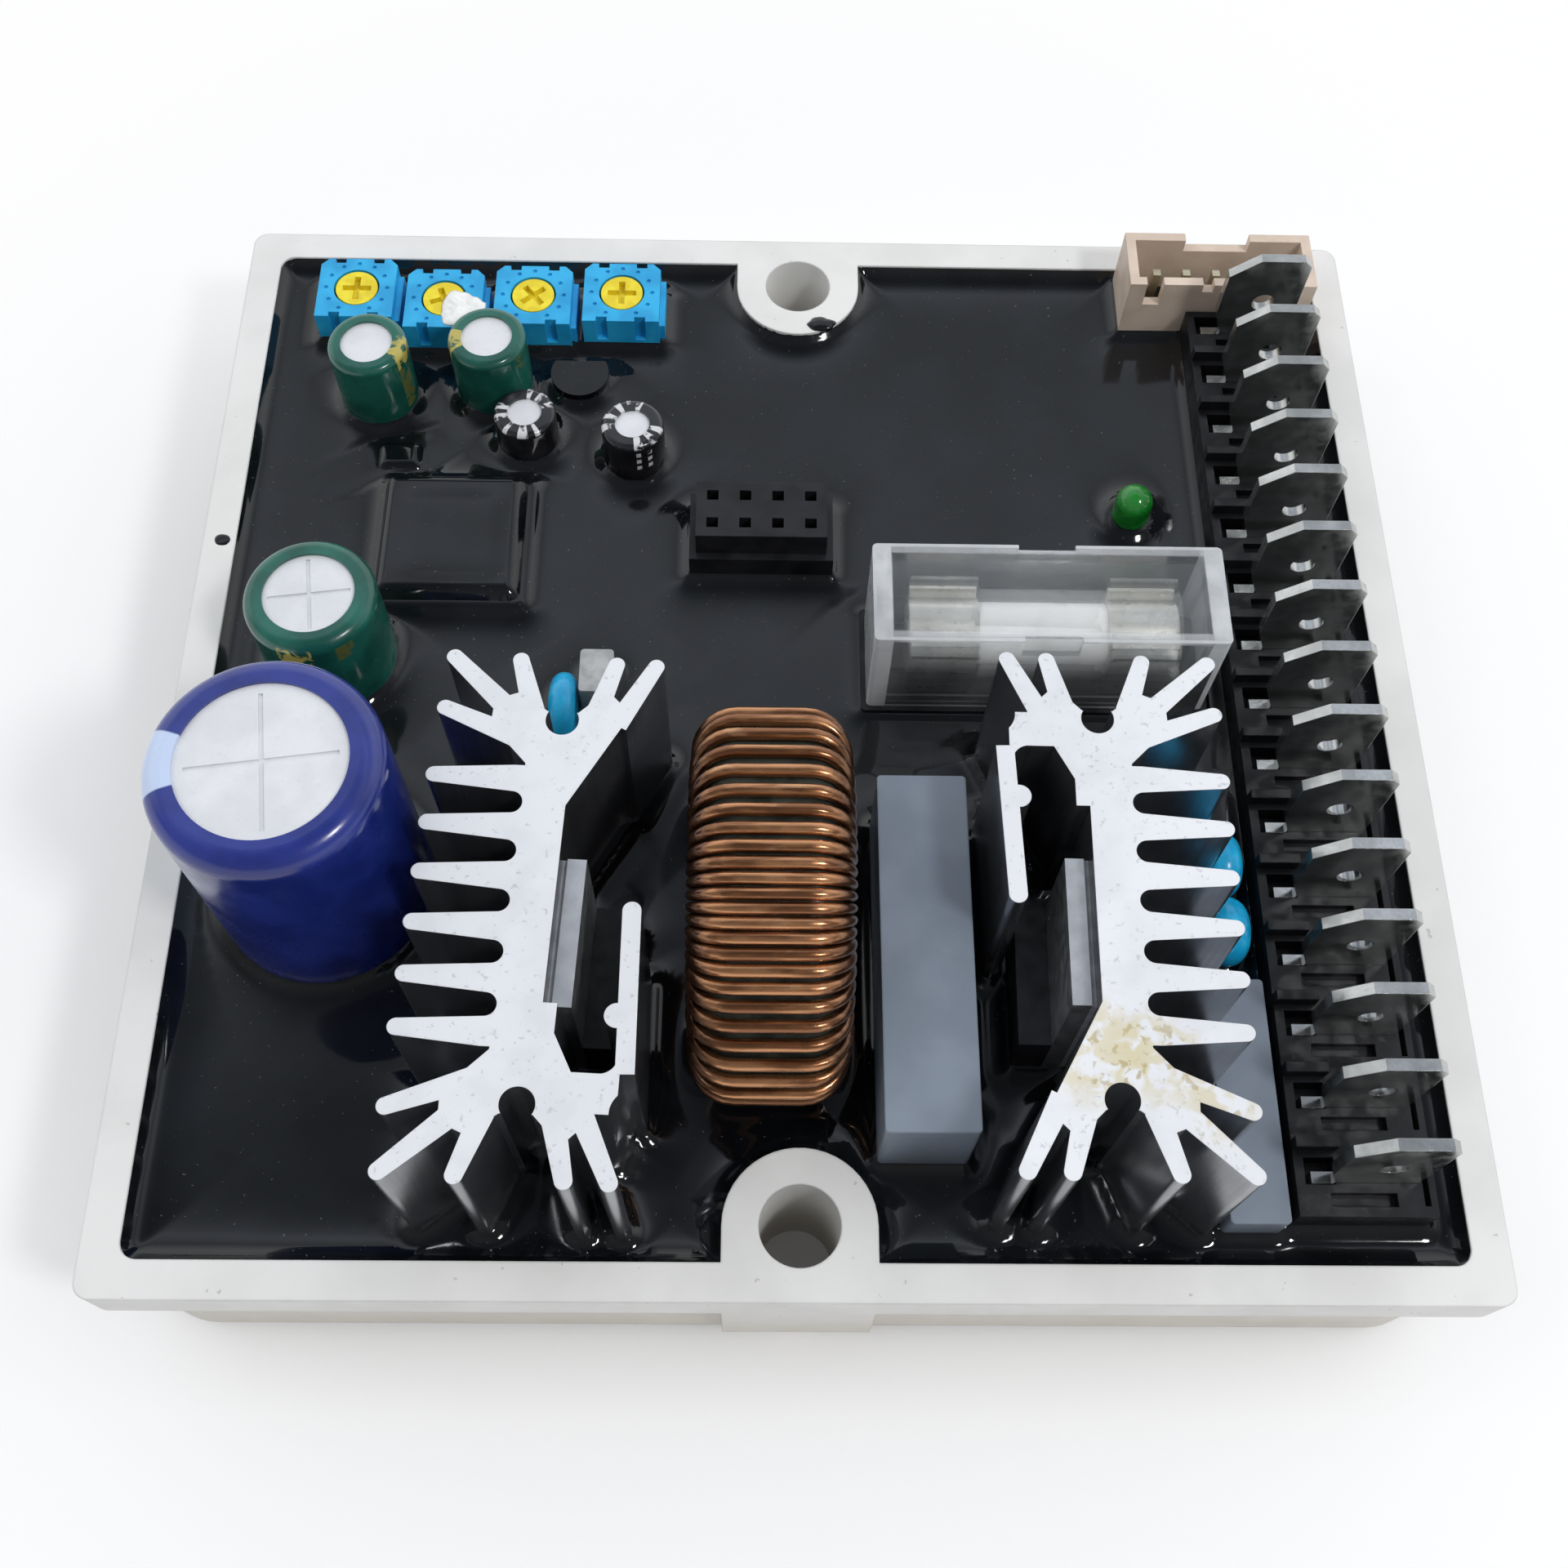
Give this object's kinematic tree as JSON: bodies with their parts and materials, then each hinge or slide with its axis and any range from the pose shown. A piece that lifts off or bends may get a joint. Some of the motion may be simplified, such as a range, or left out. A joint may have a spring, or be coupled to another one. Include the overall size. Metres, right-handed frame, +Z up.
{
  "type": "automatic voltage regulator",
  "caption": "Potted generator voltage regulator: a moulded tray of black resin with finned heatsinks, a toroidal choke, fuse, trimmers, capacitors and a tab terminal strip.",
  "frame": {"origin": "middle of the tray on the plane of its two mounting feet", "axes": "+Z up out of the open tray, +Y towards the trimmers and the signal connector, +X towards the terminal strip"},
  "size_m": [0.094, 0.09, 0.0342],
  "materials": {
    "tray_plastic": "satin moulded plastic",
    "resin": "glossy poured resin",
    "board": "solder mask",
    "trimmer_blue": "satin moulded plastic",
    "rotor_yellow": "satin moulded plastic",
    "lacquer": "dried lacquer",
    "can_metal": "matte",
    "sleeve_blue": "shrink sleeve",
    "sleeve_green": "shrink sleeve",
    "sleeve_black": "shrink sleeve",
    "black_plastic": "moulded plastic",
    "green_lens": "tinted lens",
    "clip_metal": "plated spring metal",
    "ceramic": "glazed ceramic",
    "clear_cover": "clear moulded plastic",
    "heatsink": "extruded, matte",
    "core": "coated powder core",
    "copper_wire": "enamelled copper",
    "film_grey": "moulded case",
    "disc_blue": "dipped coating",
    "bead_blue": "dipped coating",
    "pale_grey": "ceramic case",
    "tab_metal": "plated metal",
    "insulator_grey": "thermal pad",
    "tin": "tinned",
    "beige_plastic": "moulded plastic",
    "pin_metal": "plated pin"
  },
  "bodies": {
    "regulator": {"housing": "tray_plastic", "potting": "resin", "circuit_board": "board", "trimmer_body_1": "trimmer_blue", "trimmer_body_2": "trimmer_blue", "trimmer_body_3": "trimmer_blue", "trimmer_body_4": "trimmer_blue", "trimmer_rotor_2": "rotor_yellow", "trimmer_seal": "lacquer", "main_capacitor_can": "can_metal", "main_capacitor_sleeve": "sleeve_blue", "filter_capacitor_can": "can_metal", "filter_capacitor_sleeve": "sleeve_green", "green_capacitor_1_can": "can_metal", "green_capacitor_1_sleeve": "sleeve_green", "green_capacitor_2_can": "can_metal", "green_capacitor_2_sleeve": "sleeve_green", "black_capacitor_1_can": "can_metal", "black_capacitor_1_sleeve": "sleeve_black", "black_capacitor_2_can": "can_metal", "black_capacitor_2_sleeve": "sleeve_black", "small_transistor": "resin", "coated_module": "resin", "coated_part": "resin", "option_socket": "black_plastic", "indicator_lamp": "green_lens", "fuse_base": "black_plastic", "fuse_clip_left": "clip_metal", "fuse_clip_right": "clip_metal", "fuse_tube": "ceramic", "fuse_cap_left": "clip_metal", "fuse_cap_right": "clip_metal", "heatsink_left": "heatsink", "heatsink_right": "heatsink", "power_tab_left": "tab_metal", "power_body_left": "black_plastic", "insulator_left": "insulator_grey", "power_tab_right": "tab_metal", "power_body_right": "black_plastic", "insulator_right": "insulator_grey", "choke_core": "core", "choke_winding": "copper_wire", "film_capacitor_large": "film_grey", "film_capacitor_small": "film_grey", "disc_1": "disc_blue", "disc_2": "disc_blue", "disc_bead": "bead_blue", "left_disc": "disc_blue", "pale_resistor": "pale_grey", "terminal_block": "black_plastic", "terminal_tabs": "tin", "signal_connector": "beige_plastic", "signal_pins": "pin_metal"},
    "trimmer_rotor_1_body": {"trimmer_rotor_1": "rotor_yellow"},
    "trimmer_rotor_3_body": {"trimmer_rotor_3": "rotor_yellow"},
    "trimmer_rotor_4_body": {"trimmer_rotor_4": "rotor_yellow"},
    "fuse_cover_body": {"fuse_cover": "clear_cover"}
  },
  "joints": [
    {"name": "trimmer_rotor_1_turn", "type": "hinge", "parent": "regulator", "child": "trimmer_rotor_1_body", "pos_m": [-0.03705, 0.0372, 0.0172], "axis": [0, 0, 1], "range_deg": [-120, 120]},
    {"name": "trimmer_rotor_3_turn", "type": "hinge", "parent": "regulator", "child": "trimmer_rotor_3_body", "pos_m": [-0.02225, 0.0367, 0.0172], "axis": [0, 0, 1], "range_deg": [-120, 120]},
    {"name": "trimmer_rotor_4_turn", "type": "hinge", "parent": "regulator", "child": "trimmer_rotor_4_body", "pos_m": [-0.01485, 0.0371, 0.0172], "axis": [0, 0, 1], "range_deg": [-120, 120]},
    {"name": "fuse_cover_lift", "type": "slide", "parent": "regulator", "child": "fuse_cover_body", "axis": [0, 0, 1], "range_m": [0, 0.025]}
  ]
}
